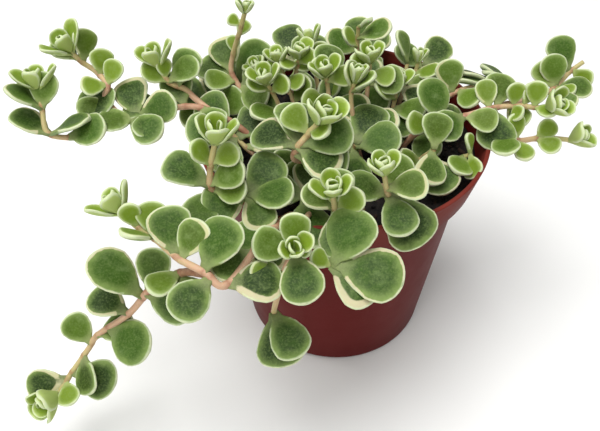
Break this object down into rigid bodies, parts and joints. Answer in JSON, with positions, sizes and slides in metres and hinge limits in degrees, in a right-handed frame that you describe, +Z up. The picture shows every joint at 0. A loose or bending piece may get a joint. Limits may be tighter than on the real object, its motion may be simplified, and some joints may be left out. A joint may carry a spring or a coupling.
{
  "type": "potted sedum",
  "caption": "Trailing variegated sedum with round fleshy leaves and bright tip rosettes, rooted in a round brown-red plastic nursery pot.",
  "frame": {"origin": "middle of the pot's flat underside", "axes": "+Z up along the pot's axis, -Y towards the front where the long trailing shoot hangs, +X to the right"},
  "size_m": [0.1975, 0.1334, 0.1315],
  "materials": {
    "pot": "thin moulded plastic, satin, brown-red",
    "soil": "damp dark potting soil of peat and fine bark",
    "leaf": "fleshy finely hairy leaves with pale edges, lime at the tips, on pink-brown stems"
  },
  "bodies": {
    "root": {"pot": "pot", "shoot_back_left": "leaf", "shoot_back_middle": "leaf", "shoot_back_right": "leaf", "shoot_back_rim": "leaf", "shoot_back_row": "leaf", "shoot_bright": "leaf", "shoot_centre": "leaf", "shoot_cream": "leaf", "shoot_front": "leaf", "shoot_front_left": "leaf", "shoot_front_middle": "leaf", "shoot_front_right": "leaf", "shoot_left": "leaf", "shoot_left_inner": "leaf", "shoot_left_rim": "leaf", "shoot_low_back": "leaf", "shoot_low_back_edge": "leaf", "shoot_low_back_left": "leaf", "shoot_low_back_right": "leaf", "shoot_low_back_rim": "leaf", "shoot_low_front": "leaf", "shoot_low_left": "leaf", "shoot_low_left_edge": "leaf", "shoot_low_middle": "leaf", "shoot_low_right": "leaf", "shoot_narrow": "leaf", "shoot_pale": "leaf", "shoot_pale_low": "leaf", "shoot_right": "leaf", "shoot_right_back": "leaf", "shoot_right_rim": "leaf", "shoot_rim_right": "leaf", "shoot_slim": "leaf", "soil": "soil"}
  },
  "joints": []
}
